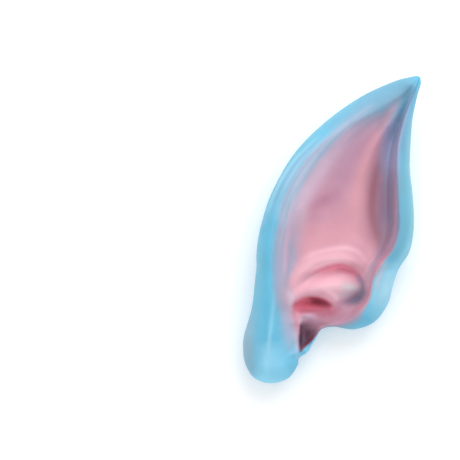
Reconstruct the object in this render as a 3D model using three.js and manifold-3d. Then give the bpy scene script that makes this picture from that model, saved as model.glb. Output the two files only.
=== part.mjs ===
// An elf ear tip: one hollow casting of thin latex, worn over the ear, lying here on its back.
// The sculpted front faces up, and the wearer's ear goes in through the opening in the back wall.
// Units are millimetres. X runs across the ear, Y from the lobe to the tip and Z out of the bowl.
// The origin is the middle of the ear's outline, at the flat back that it lies on.
import * as THREE from "three";
import { mergeVertices } from "three/addons/utils/BufferGeometryUtils.js";
import Module from "manifold-3d";

// Driving dimensions
const EAR_LENGTH = 115;
const EAR_WIDTH = 66.8;
const EAR_DEPTH = 26;
const WALL = 1.8;
const LEAST_ROOM = 0.3; // the front and back walls are at least this far apart inside the pocket
const BACK_ROUND = 6; // run of the rounded edge between the outline and the flat back
const OPENING_FLANGE = 3.6; // flat back wall left between that rounded edge and the opening

// The opening in the back wall lies between these two rungs of the ladder below.
const OPENING_FIRST_RUNG = 3.6;
const OPENING_LAST_RUNG = 13.5;
const OPENING_SQUARENESS = 3; // 2 is an ellipse, and more is squarer

// Fineness of the surfaces
const ROWS = 62;
const FRONT_COLUMNS = 34;
const BACK_COLUMNS = 14;
const POCKET_ROWS = 46;
const POCKET_COLUMNS = 18;
const SAMPLES_PER_POCKET_STEP = 4;
const POCKET_SEARCH_STEPS = 60;
const FOLD_STEPS = 24;
const OPENING_STEPS = 20;
const SAME_POINT = 1e-3; // points closer together than this are one point

const readTable = (columns, rows) =>
  Object.fromEntries(columns.map((name, at) => [name, rows.map((row) => row[at])]));

// The outline is a ladder: each rung joins a point of the left edge to one of the right edge, and
// the rungs fan out round the bowl. X is a share of the width and Y a share of the length.
const RUNGS = readTable(
  ["leftX", "leftY", "rightX", "rightY"],
  [
    [0.16, 0.0, 0.16, 0.0], // end of the lobe
    [0.065, 0.018, 0.256, 0.016],
    [0.014, 0.067, 0.309, 0.057], // widest part of the lobe
    [0.003, 0.119, 0.32, 0.083], // nick beside the lobe
    [0.008, 0.155, 0.368, 0.103],
    [0.022, 0.184, 0.407, 0.139], // rim of the notch
    [0.037, 0.214, 0.444, 0.175],
    [0.051, 0.243, 0.52, 0.184], // lip under the bowl
    [0.061, 0.279, 0.626, 0.176],
    [0.067, 0.315, 0.739, 0.199],
    [0.073, 0.351, 0.817, 0.259], // bulge at the root of the rim
    [0.079, 0.383, 0.851, 0.331],
    [0.078, 0.419, 0.882, 0.378], // hollow corner above the bulge
    [0.087, 0.468, 0.938, 0.432],
    [0.11, 0.53, 0.961, 0.514], // flare of the rim
    [0.166, 0.625, 0.955, 0.608],
    [0.289, 0.749, 0.938, 0.697],
    [0.463, 0.852, 0.941, 0.781],
    [0.66, 0.933, 0.952, 0.863],
    [0.84, 0.982, 0.978, 0.936],
    [0.941, 0.998, 0.997, 0.977], // blunt tip
    [0.986, 0.999, 0.986, 0.999],
  ],
);
const LAST_RUNG = RUNGS.leftX.length - 1;

// Heights of the sections along the rungs, as shares of the depth. The places of the two rim crests
// are shares of the rung. Between them lie a valley, a soft ridge and a gutter under the right rim.
const SECTIONS = readTable(
  [
    "rung", "leftEdge", "leftRimAt", "leftRim", "valley", "ridge", "gutter",
    "rightRimAt", "rightRim", "rightEdge", "back",
  ],
  [
    [0, 0.3, 0.48, 0.56, 0.56, 0.56, 0.56, 0.52, 0.56, 0.3, 0],
    [2, 0.3, 0.42, 0.58, 0.59, 0.59, 0.59, 0.7, 0.59, 0.28, 0],
    [3, 0.3, 0.36, 0.6, 0.6, 0.6, 0.59, 0.8, 0.59, 0.26, 0],
    [4, 0.31, 0.3, 0.62, 0.6, 0.59, 0.56, 0.87, 0.56, 0.25, 0],
    [5, 0.31, 0.27, 0.64, 0.59, 0.56, 0.38, 0.94, 0.36, 0.23, 0],
    [6, 0.32, 0.24, 0.66, 0.57, 0.46, 0.36, 0.94, 0.39, 0.22, 0],
    [8, 0.33, 0.17, 0.7, 0.47, 0.46, 0.46, 0.84, 0.5, 0.26, 0],
    [10, 0.35, 0.11, 0.74, 0.5, 0.5, 0.5, 0.84, 0.7, 0.32, 0],
    [12, 0.37, 0.085, 0.78, 0.5, 0.52, 0.5, 0.853, 0.84, 0.4, 0],
    [14, 0.4, 0.075, 0.83, 0.46, 0.52, 0.4, 0.898, 0.96, 0.5, 0],
    [15, 0.43, 0.08, 0.85, 0.45, 0.53, 0.38, 0.89, 0.98, 0.52, 0.03],
    [16, 0.48, 0.12, 0.86, 0.52, 0.6, 0.44, 0.883, 0.97, 0.54, 0.13],
    [17, 0.54, 0.22, 0.86, 0.6, 0.68, 0.52, 0.855, 0.95, 0.58, 0.24],
    [18, 0.6, 0.4, 0.86, 0.8, 0.81, 0.78, 0.856, 0.9, 0.62, 0.38],
    [19, 0.66, 0.54, 0.86, 0.84, 0.845, 0.84, 0.86, 0.87, 0.66, 0.52],
    [21, 0.74, 0.5, 0.86, 0.86, 0.86, 0.84, 0.6, 0.86, 0.74, 0.7],
  ],
);
const BETWEEN_RIMS = [0, 0.42, 0.65, 0.9, 1];
const ROUNDED_END_RUNGS = 2; // the lobe and the tip round off over this many rungs
const EDGE_SHARE = 0.05; // folds fade out over this share of a rung at each end
const FOLD_FADE = 1.2; // 1 fades a fold's ends as a half wave, and more fades them sooner

// Folds sculpted on the front: a rise or dent along a curved path. The rise is a share of the depth
// and the reaches, left and right of the path as it runs, are shares of the width.
const FOLDS = [
  {
    name: "antihelix",
    rise: 0.1,
    leftReach: 0.078,
    rightReach: 0.03,
    path: [[0.244, 0.289], [0.351, 0.376], [0.525, 0.409], [0.666, 0.387], [0.733, 0.318]],
  },
  {
    name: "groove under the antihelix",
    rise: -0.085,
    leftReach: 0.013,
    rightReach: 0.038,
    path: [[0.284, 0.302], [0.385, 0.347], [0.48, 0.373], [0.57, 0.38], [0.64, 0.357], [0.688, 0.295]],
  },
  {
    name: "crus",
    rise: 0.077,
    leftReach: 0.034,
    rightReach: 0.045,
    path: [[0.278, 0.272], [0.39, 0.308], [0.525, 0.318], [0.671, 0.285]],
  },
  {
    name: "ear canal",
    rise: -0.17,
    leftReach: 0.014,
    rightReach: 0.042,
    path: [[0.272, 0.241], [0.34, 0.269], [0.424, 0.271], [0.52, 0.243]],
  },
  {
    name: "saddle below the canal",
    rise: 0.05,
    leftReach: 0.02,
    rightReach: 0.034,
    path: [[0.317, 0.214], [0.374, 0.225], [0.48, 0.227]],
  },
  {
    name: "notch beside the lobe",
    rise: -0.24,
    leftReach: 0.056,
    rightReach: 0.01,
    path: [[0.35, 0.222], [0.334, 0.18], [0.329, 0.134], [0.334, 0.077]],
  },
  {
    name: "hollow beside the rim",
    rise: -0.115,
    leftReach: 0.039,
    rightReach: 0.028,
    path: [[0.537, 0.259], [0.604, 0.269], [0.66, 0.289], [0.694, 0.318]],
  },
  {
    name: "groove above the bulge",
    rise: -0.054,
    leftReach: 0.028,
    rightReach: 0.017,
    path: [[0.907, 0.364], [0.829, 0.377], [0.772, 0.364], [0.739, 0.325]],
  },
  {
    name: "ridge down the lobe",
    rise: 0.027,
    leftReach: 0.017,
    rightReach: 0.017,
    path: [[0.154, 0.37], [0.143, 0.256], [0.143, 0.175], [0.138, 0.07]],
  },
];

const clamp01 = (value) => Math.min(1, Math.max(0, value));
const mix = (from, to, share) => from + (to - from) * share;
const smooth = (share) => share * share * (3 - 2 * share);
// Height of a quarter circle over its run: 0 at the start, where it stands upright, and 1 at the end.
const quarterRound = (share) => Math.sqrt(1 - (1 - clamp01(share)) ** 2);
// Shares from 0 to 1 that lie closer together near both ends.
const crowdedEnds = (step, steps) => (1 - Math.cos((Math.PI * step) / steps)) / 2;

// A smooth curve through evenly spaced values, with one more value known beyond each end.
function evenCurve(values, before, after, at) {
  const last = values.length - 1;
  const span = Math.min(last - 1, Math.max(0, Math.floor(at)));
  const value = (k) => (k < 0 ? before : k > last ? after : values[k]);
  const [p0, p1, p2, p3] = [value(span - 1), values[span], values[span + 1], value(span + 2)];
  const s = at - span;
  const bend = (2 * p0 - 5 * p1 + 4 * p2 - p3) * s * s + (3 * p1 - p0 - 3 * p2 + p3) * s ** 3;
  return (2 * p1 + (p2 - p0) * s + bend) / 2;
}

// A curve through unevenly spaced values that never swings past them.
function steadyCurve(places, values, at, startSlope, endSlope) {
  const last = places.length - 1;
  let span = 0;
  while (span < last - 1 && at > places[span + 1]) span += 1;
  const width = (k) => places[k + 1] - places[k];
  const secant = (k) => (values[k + 1] - values[k]) / width(k);
  const slope = (k) => {
    if (k === 0) return startSlope ?? secant(0);
    if (k === last) return endSlope ?? secant(last - 1);
    if (secant(k - 1) * secant(k) <= 0) return 0;
    const [first, second] = [2 * width(k) + width(k - 1), width(k) + 2 * width(k - 1)];
    return (first + second) / (first / secant(k - 1) + second / secant(k));
  };
  const run = width(span);
  const s = clamp01((at - places[span]) / run);
  const ends = mix(values[span], values[span + 1], smooth(s));
  return ends + run * s * (1 - s) * (slope(span) * (1 - s) - slope(span + 1) * s);
}

// The left and right ends of the rung at any place on the ladder, in millimetres.
function rungEnds(rung) {
  const coordinate = (name, mirror, size) => {
    const beyond = [RUNGS[mirror][1], RUNGS[mirror][LAST_RUNG - 1]];
    return evenCurve(RUNGS[name], beyond[0], beyond[1], rung) * size;
  };
  return {
    left: [
      coordinate("leftX", "rightX", EAR_WIDTH),
      coordinate("leftY", "rightY", EAR_LENGTH),
    ],
    right: [
      coordinate("rightX", "leftX", EAR_WIDTH),
      coordinate("rightY", "leftY", EAR_LENGTH),
    ],
  };
}

function foldPath(points) {
  const ahead = (axis) => 2 * points[0][axis] - points[1][axis];
  const beyond = (axis) => 2 * points.at(-1)[axis] - points.at(-2)[axis];
  const coordinate = (axis, at, size) =>
    evenCurve(points.map((point) => point[axis]), ahead(axis), beyond(axis), at) * size;
  return Array.from({ length: FOLD_STEPS + 1 }, (_, step) => {
    const at = (step / FOLD_STEPS) * (points.length - 1);
    return [coordinate(0, at, EAR_WIDTH), coordinate(1, at, EAR_LENGTH)];
  });
}

const FOLD_LINES = FOLDS.map((fold) => ({ ...fold, line: foldPath(fold.path) }));

// The nearest place on a fold's line: its distance, its side and its share of the way along.
function nearestOnLine(line, x, y) {
  let nearest = { distance: Infinity, side: 0, along: 0 };
  for (let k = 0; k < line.length - 1; k += 1) {
    const [stepX, stepY] = [line[k + 1][0] - line[k][0], line[k + 1][1] - line[k][1]];
    const [offX, offY] = [x - line[k][0], y - line[k][1]];
    const share = clamp01((offX * stepX + offY * stepY) / (stepX ** 2 + stepY ** 2));
    const distance = Math.hypot(offX - share * stepX, offY - share * stepY);
    if (distance < nearest.distance) {
      const side = stepX * offY - stepY * offX;
      nearest = { distance, side, along: (k + share) / (line.length - 1) };
    }
  }
  return nearest;
}

function foldRise(x, y) {
  let rise = 0;
  for (const fold of FOLD_LINES) {
    const { distance, side, along } = nearestOnLine(fold.line, x, y);
    const reach = (side > 0 ? fold.leftReach : fold.rightReach) * EAR_WIDTH;
    const fade = Math.sin(Math.PI * along) ** FOLD_FADE;
    rise += fold.rise * EAR_DEPTH * fade * Math.exp(-((distance / reach) ** 2));
  }
  return rise;
}

// The casting's outer surface at one place: how far along the ladder, and how far across the rung.
function surfaceAt(rung, across) {
  const { left, right } = rungEnds(rung);
  const x = mix(left[0], right[0], across);
  const y = mix(left[1], right[1], across);
  const length = Math.hypot(right[0] - left[0], right[1] - left[1]);
  const at = (name) => steadyCurve(SECTIONS.rung, SECTIONS[name], rung);
  const fromEnd = Math.min(rung, LAST_RUNG - rung) / ROUNDED_END_RUNGS;
  const endRound = Math.sin((Math.PI / 2) * clamp01(fromEnd));
  const edge = mix(at("leftEdge"), at("rightEdge"), across);

  const [leftRimAt, rightRimAt] = [at("leftRimAt"), at("rightRimAt")];
  let height;
  if (across < leftRimAt) {
    height = mix(at("leftEdge"), at("leftRim"), quarterRound(across / leftRimAt));
  } else if (across > rightRimAt) {
    const share = (1 - across) / (1 - rightRimAt);
    height = mix(at("rightEdge"), at("rightRim"), quarterRound(share));
  } else {
    const heights = ["leftRim", "valley", "ridge", "gutter", "rightRim"].map(at);
    const lastSlope = (heights[4] - heights[3]) / (BETWEEN_RIMS[4] - BETWEEN_RIMS[3]);
    const share = (across - leftRimAt) / (rightRimAt - leftRimAt);
    height = steadyCurve(BETWEEN_RIMS, heights, share, 0, Math.max(0, lastSlope));
  }
  const fade = smooth(clamp01(Math.min(across, 1 - across) / EDGE_SHARE)) * endRound;
  const front = mix(edge, height, endRound) * EAR_DEPTH + foldRise(x, y) * fade;

  const round = Math.min(BACK_ROUND, length / 2);
  const fromSide = round > 0 ? (Math.min(across, 1 - across) * length) / round : 1;
  const back = mix(edge, at("back"), quarterRound(fromSide) * endRound) * EAR_DEPTH;
  return { x, y, front, back };
}

// A grid of surface points, rows along the ladder and columns across the rungs.
const surfaceGrid = (rows, columns) =>
  Array.from({ length: rows + 1 }, (_, row) =>
    Array.from({ length: columns + 1 }, (_, column) =>
      surfaceAt((row / rows) * LAST_RUNG, crowdedEnds(column, columns)),
    ),
  );

// Two triangles for each cell of a grid of points. An upper sheet faces up.
function sheetTriangles(grid, facesUp) {
  const triangles = [];
  for (let row = 0; row < grid.length - 1; row += 1) {
    for (let column = 0; column < grid[row].length - 1; column += 1) {
      const [a, b] = [grid[row][column], grid[row][column + 1]];
      const [c, d] = [grid[row + 1][column + 1], grid[row + 1][column]];
      triangles.push(...(facesUp ? [a, b, c, a, c, d] : [a, c, b, a, d, c]));
    }
  }
  return triangles;
}

const wasm = await Module();
wasm.setup();

function solidFromGeometry(geometry) {
  const bare = new THREE.BufferGeometry();
  bare.setAttribute("position", geometry.getAttribute("position").clone());
  if (geometry.index) bare.setIndex(geometry.index.clone());
  const merged = mergeVertices(bare, SAME_POINT);
  const corners = merged.index.array;
  const kept = [];
  for (let k = 0; k < corners.length; k += 3) {
    const [a, b, c] = [corners[k], corners[k + 1], corners[k + 2]];
    if (a !== b && b !== c && c !== a) kept.push(a, b, c);
  }
  return new wasm.Manifold(
    new wasm.Mesh({
      numProp: 3,
      vertProperties: new Float32Array(merged.getAttribute("position").array),
      triVerts: new Uint32Array(kept),
    }),
  );
}

const solidFromTriangles = (triangles) =>
  solidFromGeometry(new THREE.BufferGeometry().setFromPoints(triangles));

function makeOuterForm() {
  const sheet = (columns, side) =>
    surfaceGrid(ROWS, columns).map((row) => row.map((p) => new THREE.Vector3(p.x, p.y, p[side])));
  return solidFromTriangles([
    ...sheetTriangles(sheet(FRONT_COLUMNS, "front"), true),
    ...sheetTriangles(sheet(BACK_COLUMNS, "back"), false),
  ]);
}

// The room inside the casting: everything that lies a wall's thickness in from both surfaces. Each
// row of its grid runs between the two places on the rung where the walls meet.
function makePocket() {
  const samples = surfaceGrid(
    POCKET_ROWS * SAMPLES_PER_POCKET_STEP,
    POCKET_COLUMNS * SAMPLES_PER_POCKET_STEP,
  ).flat();
  const roomAt = (rung, across) => {
    const { x, y, front, back } = surfaceAt(rung, across);
    let [ceiling, floor] = [front - WALL, back + WALL];
    for (const sample of samples) {
      const reach = WALL ** 2 - (sample.x - x) ** 2 - (sample.y - y) ** 2;
      if (reach > 0) {
        ceiling = Math.min(ceiling, sample.front - Math.sqrt(reach));
        floor = Math.max(floor, sample.back + Math.sqrt(reach));
      }
    }
    return { x, y, middle: (ceiling + floor) / 2, height: ceiling - floor };
  };

  // The share of the rung at which the room starts, looking from one end towards the other.
  const roomStart = (rung, from, to) => {
    let before = { across: from, height: roomAt(rung, from).height };
    for (let step = 1; step <= POCKET_SEARCH_STEPS; step += 1) {
      const across = mix(from, to, step / POCKET_SEARCH_STEPS);
      const { height } = roomAt(rung, across);
      if (height > 0) {
        return mix(before.across, across, clamp01(before.height / (before.height - height)));
      }
      before = { across, height };
    }
    return null;
  };

  const grid = [];
  for (let row = 0; row <= POCKET_ROWS; row += 1) {
    const rung = (row / POCKET_ROWS) * LAST_RUNG;
    const [start, end] = [roomStart(rung, 0, 1), roomStart(rung, 1, 0)];
    if (start !== null && end > start) {
      grid.push(
        Array.from({ length: POCKET_COLUMNS + 1 }, (_, column) =>
          roomAt(rung, mix(start, end, crowdedEnds(column, POCKET_COLUMNS))),
        ),
      );
    }
  }
  const halfHeight = (point, row, column) => {
    const atBorder = row === 0 || row === grid.length - 1 || column % POCKET_COLUMNS === 0;
    return atBorder ? 0 : Math.max(point.height, LEAST_ROOM) / 2;
  };
  const sheet = (side) =>
    grid.map((points, row) =>
      points.map((point, column) => {
        const z = point.middle + side * halfHeight(point, row, column);
        return new THREE.Vector3(point.x, point.y, z);
      }),
    );
  return solidFromTriangles([
    ...sheetTriangles(sheet(1), true),
    ...sheetTriangles(sheet(-1), false),
  ]);
}

// The opening follows the outline, a rounded edge and a flange in from it, with rounded ends.
function makeOpeningCutter() {
  const leftSide = [];
  const rightSide = [];
  for (let step = 0; step <= OPENING_STEPS; step += 1) {
    const along = crowdedEnds(step, OPENING_STEPS);
    const { left, right } = rungEnds(mix(OPENING_FIRST_RUNG, OPENING_LAST_RUNG, along));
    const length = Math.hypot(right[0] - left[0], right[1] - left[1]);
    const roundEnds = (1 - Math.abs(2 * along - 1) ** OPENING_SQUARENESS) ** (1 / 2);
    const half = Math.max(0, length / 2 - BACK_ROUND - OPENING_FLANGE) * roundEnds;
    const sidePoint = (share) =>
      new THREE.Vector2(mix(left[0], right[0], share), mix(left[1], right[1], share));
    leftSide.push(sidePoint(0.5 - half / length));
    rightSide.push(sidePoint(0.5 + half / length));
  }
  const outline = [...leftSide, ...rightSide.slice(1, -1).reverse()];
  const depth = 2 * (WALL + SAME_POINT);
  const cutter = new THREE.ExtrudeGeometry(new THREE.Shape(outline), { depth, bevelEnabled: false });
  return solidFromGeometry(cutter.translate(0, 0, -depth / 2));
}

function makeShellGeometry() {
  const shell = makeOuterForm().subtract(makePocket()).subtract(makeOpeningCutter());
  const mesh = shell.getMesh();
  const geometry = new THREE.BufferGeometry();
  geometry.setAttribute("position", new THREE.BufferAttribute(mesh.vertProperties, 3));
  geometry.setIndex(new THREE.BufferAttribute(mesh.triVerts, 1));
  geometry.computeBoundingBox();
  const { min, max } = geometry.boundingBox;
  geometry.translate(-(min.x + max.x) / 2, -(min.y + max.y) / 2, -min.z);
  geometry.computeVertexNormals();
  return geometry;
}

const latex = new THREE.MeshStandardMaterial({ color: 0x7cc4e0, roughness: 0.5, metalness: 0 });

const earShell = new THREE.Mesh(makeShellGeometry(), latex);
earShell.name = "ear_shell";

const elfEarTip = new THREE.Group();
elfEarTip.add(earShell);

export default elfEarTip;
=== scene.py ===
"""The looks of a pale blue latex elf ear, airbrushed pink within its rim, lying on its back.

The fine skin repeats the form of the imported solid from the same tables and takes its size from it.
All lengths are in metres.
"""

import bmesh
import bpy
import numpy as np
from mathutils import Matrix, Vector


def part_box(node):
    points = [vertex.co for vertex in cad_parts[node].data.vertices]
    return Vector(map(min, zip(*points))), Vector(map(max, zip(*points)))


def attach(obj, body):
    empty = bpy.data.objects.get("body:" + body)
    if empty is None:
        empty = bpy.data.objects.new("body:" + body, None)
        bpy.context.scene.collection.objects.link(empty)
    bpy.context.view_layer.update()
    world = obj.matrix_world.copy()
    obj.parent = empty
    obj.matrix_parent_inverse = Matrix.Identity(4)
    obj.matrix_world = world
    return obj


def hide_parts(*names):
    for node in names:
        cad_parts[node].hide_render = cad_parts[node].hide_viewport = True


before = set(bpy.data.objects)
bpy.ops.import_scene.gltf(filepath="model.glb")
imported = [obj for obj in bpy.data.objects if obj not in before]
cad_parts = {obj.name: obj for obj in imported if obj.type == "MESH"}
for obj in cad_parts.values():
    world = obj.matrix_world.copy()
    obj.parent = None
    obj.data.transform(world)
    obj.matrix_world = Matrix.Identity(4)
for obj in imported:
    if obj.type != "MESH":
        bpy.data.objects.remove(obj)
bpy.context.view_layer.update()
solid_low, solid_high = (np.array(corner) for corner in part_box("ear_shell"))
ear_size = solid_high - solid_low

# Walls and the opening, as in the solid
WALL = 0.0018
LEAST_ROOM = 0.0003
BACK_ROUND = 0.006
OPENING_FLANGE = 0.0036
OPENING_FIRST_RUNG = 3.6
OPENING_LAST_RUNG = 13.5
OPENING_SQUARENESS = 3

# Fineness of the surfaces
ROWS = 340
FRONT_COLUMNS = 180
BACK_COLUMNS = 36
POCKET_ROWS = 120
POCKET_COLUMNS = 40
SAMPLE_ROWS = 420
SAMPLE_COLUMNS = 150
POCKET_SEARCH_STEPS = 60
FOLD_STEPS = 24
OPENING_STEPS = 48
LIP_STEPS = 8


def read_table(columns, rows):
    """Named columns of a table whose rows are numbers."""
    return dict(zip(columns, np.array(rows, float).T))


# The outline is a ladder of rungs from the lobe to the tip, as shares of the width and length.
RUNGS = read_table(
    ["leftX", "leftY", "rightX", "rightY"],
    [
        [0.16, 0.0, 0.16, 0.0],  # end of the lobe
        [0.065, 0.018, 0.256, 0.016],
        [0.014, 0.067, 0.309, 0.057],  # widest part of the lobe
        [0.003, 0.119, 0.32, 0.083],  # nick beside the lobe
        [0.008, 0.155, 0.368, 0.103],
        [0.022, 0.184, 0.407, 0.139],  # rim of the notch
        [0.037, 0.214, 0.444, 0.175],
        [0.051, 0.243, 0.52, 0.184],  # lip under the bowl
        [0.061, 0.279, 0.626, 0.176],
        [0.067, 0.315, 0.739, 0.199],
        [0.073, 0.351, 0.817, 0.259],  # bulge at the root of the rim
        [0.079, 0.383, 0.851, 0.331],
        [0.078, 0.419, 0.882, 0.378],  # hollow corner above the bulge
        [0.087, 0.468, 0.938, 0.432],
        [0.11, 0.53, 0.961, 0.514],  # flare of the rim
        [0.166, 0.625, 0.955, 0.608],
        [0.289, 0.749, 0.938, 0.697],
        [0.463, 0.852, 0.941, 0.781],
        [0.66, 0.933, 0.952, 0.863],
        [0.84, 0.982, 0.978, 0.936],
        [0.941, 0.998, 0.997, 0.977],  # blunt tip
        [0.986, 0.999, 0.986, 0.999],
    ],
)
LAST_RUNG = len(RUNGS["leftX"]) - 1

# Heights of the sections along the rungs, as shares of the depth, with the rim crests' places.
SECTIONS = read_table(
    [
        "rung", "leftEdge", "leftRimAt", "leftRim", "valley", "ridge", "gutter",
        "rightRimAt", "rightRim", "rightEdge", "back",
    ],
    [
        [0, 0.3, 0.48, 0.56, 0.56, 0.56, 0.56, 0.52, 0.56, 0.3, 0],
        [2, 0.3, 0.42, 0.58, 0.59, 0.59, 0.59, 0.7, 0.59, 0.28, 0],
        [3, 0.3, 0.36, 0.6, 0.6, 0.6, 0.59, 0.8, 0.59, 0.26, 0],
        [4, 0.31, 0.3, 0.62, 0.6, 0.59, 0.56, 0.87, 0.56, 0.25, 0],
        [5, 0.31, 0.27, 0.64, 0.59, 0.56, 0.38, 0.94, 0.36, 0.23, 0],
        [6, 0.32, 0.24, 0.66, 0.57, 0.46, 0.36, 0.94, 0.39, 0.22, 0],
        [8, 0.33, 0.17, 0.7, 0.47, 0.46, 0.46, 0.84, 0.5, 0.26, 0],
        [10, 0.35, 0.11, 0.74, 0.5, 0.5, 0.5, 0.84, 0.7, 0.32, 0],
        [12, 0.37, 0.085, 0.78, 0.5, 0.52, 0.5, 0.853, 0.84, 0.4, 0],
        [14, 0.4, 0.075, 0.83, 0.46, 0.52, 0.4, 0.898, 0.96, 0.5, 0],
        [15, 0.43, 0.08, 0.85, 0.45, 0.53, 0.38, 0.89, 0.98, 0.52, 0.03],
        [16, 0.48, 0.12, 0.86, 0.52, 0.6, 0.44, 0.883, 0.97, 0.54, 0.13],
        [17, 0.54, 0.22, 0.86, 0.6, 0.68, 0.52, 0.855, 0.95, 0.58, 0.24],
        [18, 0.6, 0.4, 0.86, 0.8, 0.81, 0.78, 0.856, 0.9, 0.62, 0.38],
        [19, 0.66, 0.54, 0.86, 0.84, 0.845, 0.84, 0.86, 0.87, 0.66, 0.52],
        [21, 0.74, 0.5, 0.86, 0.86, 0.86, 0.84, 0.6, 0.86, 0.74, 0.7],
    ],
)
BETWEEN_RIMS = [0, 0.42, 0.65, 0.9, 1]
ROUNDED_END_RUNGS = 2
EDGE_SHARE = 0.05
LEAST_RUN = 1e-9  # keeps a run above 0 where the outline closes
FOLD_FADE = 1.2
STROKE_SPAN = 3  # reaches from its line beyond which a stroke isn't worked out

# Folds of the front: name, rise as a share of the depth, reaches left and right of the path as
# shares of the width, and the path.
FOLDS = [
    ("antihelix", 0.1, 0.078, 0.03,
     [(0.244, 0.289), (0.351, 0.376), (0.525, 0.409), (0.666, 0.387), (0.733, 0.318)]),
    ("groove under the antihelix", -0.085, 0.013, 0.038,
     [(0.284, 0.302), (0.385, 0.347), (0.48, 0.373), (0.57, 0.38), (0.64, 0.357), (0.688, 0.295)]),
    ("crus", 0.077, 0.034, 0.045,
     [(0.278, 0.272), (0.39, 0.308), (0.525, 0.318), (0.671, 0.285)]),
    ("ear canal", -0.17, 0.014, 0.042,
     [(0.272, 0.241), (0.34, 0.269), (0.424, 0.271), (0.52, 0.243)]),
    ("saddle below the canal", 0.05, 0.02, 0.034,
     [(0.317, 0.214), (0.374, 0.225), (0.48, 0.227)]),
    ("notch beside the lobe", -0.24, 0.056, 0.01,
     [(0.35, 0.222), (0.334, 0.18), (0.329, 0.134), (0.334, 0.077)]),
    ("hollow beside the rim", -0.115, 0.039, 0.028,
     [(0.537, 0.259), (0.604, 0.269), (0.66, 0.289), (0.694, 0.318)]),
    ("groove above the bulge", -0.054, 0.028, 0.017,
     [(0.907, 0.364), (0.829, 0.377), (0.772, 0.364), (0.739, 0.325)]),
    ("ridge down the lobe", 0.027, 0.017, 0.017,
     [(0.154, 0.37), (0.143, 0.256), (0.143, 0.175), (0.138, 0.07)]),
]

# Low relief too fine for the solid, in the same columns
FINE_FOLDS = [
    ("crease at the rim", -0.012, 0.008, 0.008,
     [(0.947, 0.958), (0.91, 0.866), (0.876, 0.778), (0.864, 0.697), (0.867, 0.615), (0.879, 0.527),
      (0.823, 0.426), (0.75, 0.374), (0.713, 0.334), (0.705, 0.295), (0.683, 0.259), (0.626, 0.23)]),
    ("outer brush line", 0.006, 0.008, 0.008,
     [(0.374, 0.772), (0.301, 0.719), (0.233, 0.657), (0.183, 0.595), (0.138, 0.527)]),
    ("inner brush line", 0.006, 0.007, 0.007,
     [(0.447, 0.788), (0.289, 0.664), (0.205, 0.533), (0.194, 0.452), (0.191, 0.36)]),
]


def mix(start, end, share):
    return start + (end - start) * share


def smooth(share):
    share = np.clip(share, 0, 1)
    return share * share * (3 - 2 * share)


def quarter_round(share):
    """Height of a quarter circle over its run: upright at 0, and level at 1."""
    return np.sqrt(1 - (1 - np.clip(share, 0, 1)) ** 2)


def crowded_ends(steps):
    """Shares from 0 to 1 that lie closer together near both ends."""
    return (1 - np.cos(np.pi * np.arange(steps + 1) / steps)) / 2


def curve_between(p0, p1, p2, p3, s):
    """The place a share s of the way from p1 to p2, on a smooth curve that p0 and p3 bend."""
    bend = (2 * p0 - 5 * p1 + 4 * p2 - p3) * s**2 + (3 * p1 - p0 - 3 * p2 + p3) * s**3
    return (2 * p1 + (p2 - p0) * s + bend) / 2


def even_curve(values, before, after, at):
    """A smooth curve through evenly spaced values, with one more value known beyond each end."""
    known = np.concatenate([[before], values, [after]])
    span = np.clip(np.floor(at).astype(int), 0, len(values) - 2)
    return curve_between(*(known[span + k] for k in range(4)), at - span)


def steady_curve(places, values, at, start_slope=None, end_slope=None):
    """A curve through unevenly spaced values that never swings past them. Values can be one list,
    or one list for each place in at."""
    places = np.asarray(places, float)
    values = np.asarray(values, float)
    if values.ndim == 1:
        values = np.broadcast_to(values[:, None], (len(places), at.size))
    widths = np.diff(places)[:, None]
    secants = np.diff(values, axis=0) / widths
    slopes = np.zeros_like(values)
    slopes[0] = secants[0] if start_slope is None else start_slope
    slopes[-1] = secants[-1] if end_slope is None else end_slope
    first = 2 * widths[1:] + widths[:-1]
    second = widths[1:] + 2 * widths[:-1]
    one_way = secants[:-1] * secants[1:] > 0
    safe = [np.where(one_way, secant, 1) for secant in (secants[:-1], secants[1:])]
    slopes[1:-1] = np.where(one_way, (first + second) / (first / safe[0] + second / safe[1]), 0)

    span = np.searchsorted(places[1:-1], at)
    each = np.arange(at.size)
    run = widths[span, 0]
    s = np.clip((at - places[span]) / run, 0, 1)
    ends = mix(values[span, each], values[span + 1, each], smooth(s))
    return ends + run * s * (1 - s) * (slopes[span, each] * (1 - s) - slopes[span + 1, each] * s)


def rung_ends(rung):
    """The left and right ends of rungs, as shares: left x, left y, right x, right y."""
    pairs = {"leftX": "rightX", "leftY": "rightY", "rightX": "leftX", "rightY": "leftY"}
    return [
        even_curve(RUNGS[name], RUNGS[mirror][1], RUNGS[mirror][-2], rung)
        for name, mirror in pairs.items()
    ]


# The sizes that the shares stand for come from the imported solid's box.
outline = rung_ends(np.linspace(0, LAST_RUNG, ROWS + 1))
outline_x = np.concatenate([outline[0], outline[2]])
outline_y = np.concatenate([outline[1], outline[3]])
ear_width = ear_size[0] / np.ptp(outline_x)
ear_length = ear_size[1] / np.ptp(outline_y)
origin_x = (solid_low[0] + solid_high[0]) / 2 - (outline_x.min() + outline_x.max()) / 2 * ear_width
origin_y = (solid_low[1] + solid_high[1]) / 2 - (outline_y.min() + outline_y.max()) / 2 * ear_length


def path_points(points, steps):
    """A smooth line through points given as shares, in metres from the outline's corner."""
    points = np.array(points, float)
    at = np.linspace(0, len(points) - 1, steps + 1)
    ahead = 2 * points[0] - points[1]
    beyond = 2 * points[-1] - points[-2]
    return np.stack(
        [
            even_curve(points[:, 0], ahead[0], beyond[0], at) * ear_width,
            even_curve(points[:, 1], ahead[1], beyond[1], at) * ear_length,
        ],
        axis=1,
    )


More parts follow.
